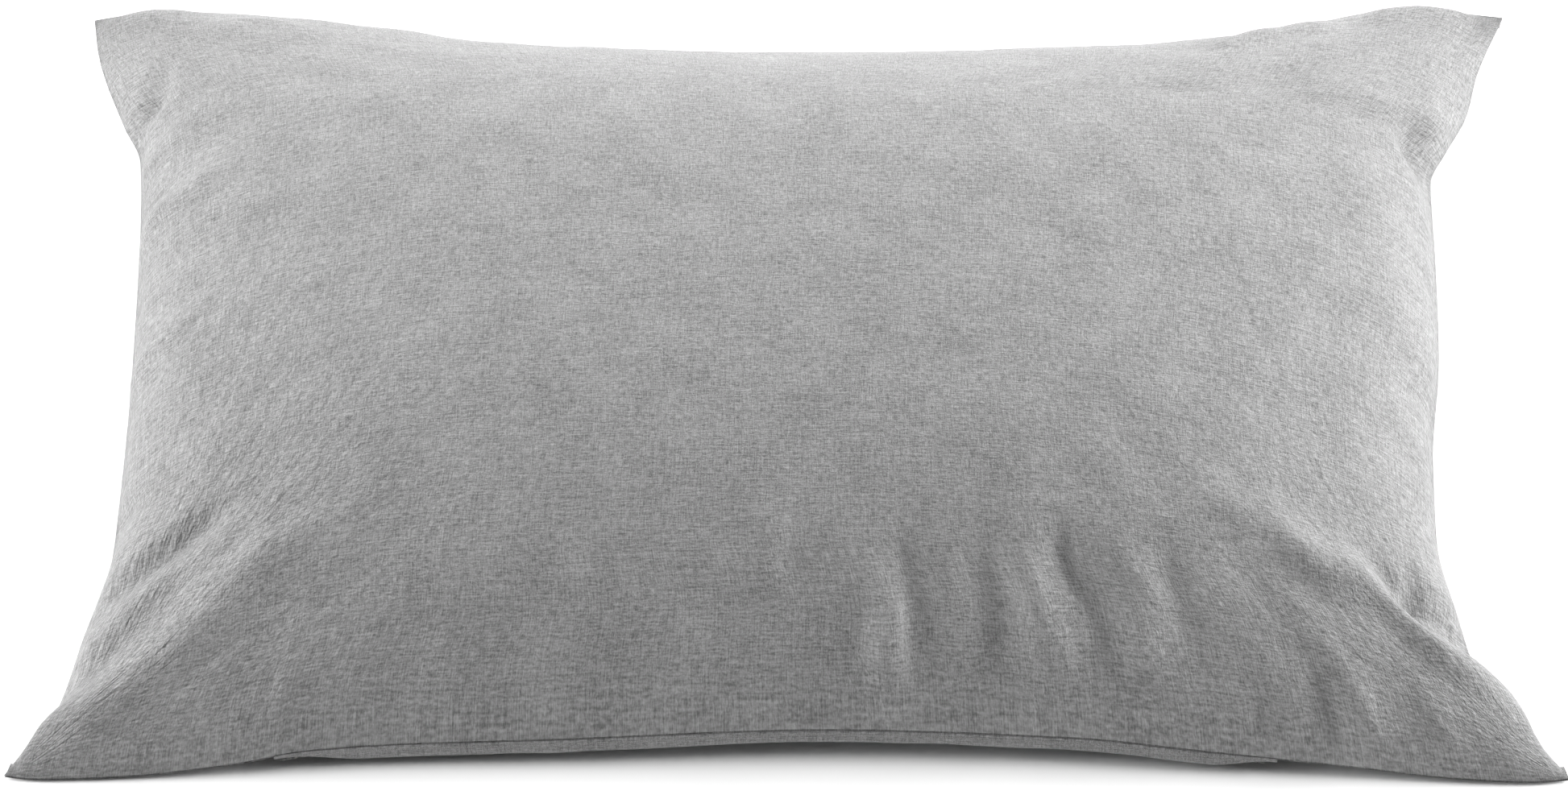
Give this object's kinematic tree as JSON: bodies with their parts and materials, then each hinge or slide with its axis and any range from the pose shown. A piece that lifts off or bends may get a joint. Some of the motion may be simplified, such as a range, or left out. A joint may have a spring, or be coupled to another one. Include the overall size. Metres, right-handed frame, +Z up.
{
  "type": "bed pillow",
  "caption": "Plump bed pillow in a grey washed chambray cover with a concealed zip under its front edge, over a filled insert.",
  "frame": {"origin": "on the resting plane, under the middle of the pillow", "axes": "+X along the long side to the closed end of the zip, -Y the zip edge, +Z up"},
  "size_m": [0.728, 0.4814, 0.15],
  "materials": {
    "chambray": "washed cotton chambray, plain weave with a melange yarn",
    "grey_thread": "spun polyester sewing thread",
    "zip_tape": "woven polyester tape",
    "zip_coil": "drawn nylon monofilament coil",
    "zip_metal": "die-cast zinc, nickel plated",
    "satin_label": "woven satin ribbon, blank",
    "ticking": "downproof cotton ticking",
    "white_thread": "cotton sewing thread",
    "fibre": "carded polyester fibre"
  },
  "bodies": {
    "pillow": {"cover_top_panel": "chambray", "cover_bottom_panel": "chambray", "zip_placket": "chambray", "placket_topstitch": "grey_thread", "cover_seam_thread": "grey_thread", "cover_care_label": "satin_label", "zip_tape_upper": "zip_tape", "zip_tape_lower": "zip_tape", "zip_stitch_upper": "grey_thread", "zip_stitch_lower": "grey_thread", "zip_coil_upper": "zip_coil", "zip_coil_lower": "zip_coil", "zip_top_stop_upper": "zip_metal", "zip_top_stop_lower": "zip_metal", "zip_bottom_stop": "zip_metal", "zip_bartack_left": "grey_thread", "zip_bartack_right": "grey_thread", "insert_ticking_top": "ticking", "insert_ticking_bottom": "ticking", "insert_edge_piping": "ticking", "insert_closing_stitch": "white_thread", "insert_label": "satin_label", "insert_filling": "fibre"},
    "slider": {"zip_slider": "zip_metal"},
    "pull": {"zip_pull": "zip_metal"}
  },
  "joints": [
    {"name": "zip_travel", "type": "slide", "parent": "pillow", "child": "slider", "axis": [-1, 0, 0], "range_m": [0, 0.43]},
    {"name": "pull_swing", "type": "hinge", "parent": "slider", "child": "pull", "pos_m": [0.212, -0.21651, 0.01151], "axis": [0, 0.8209, -0.571], "range_deg": [0, 180]}
  ]
}
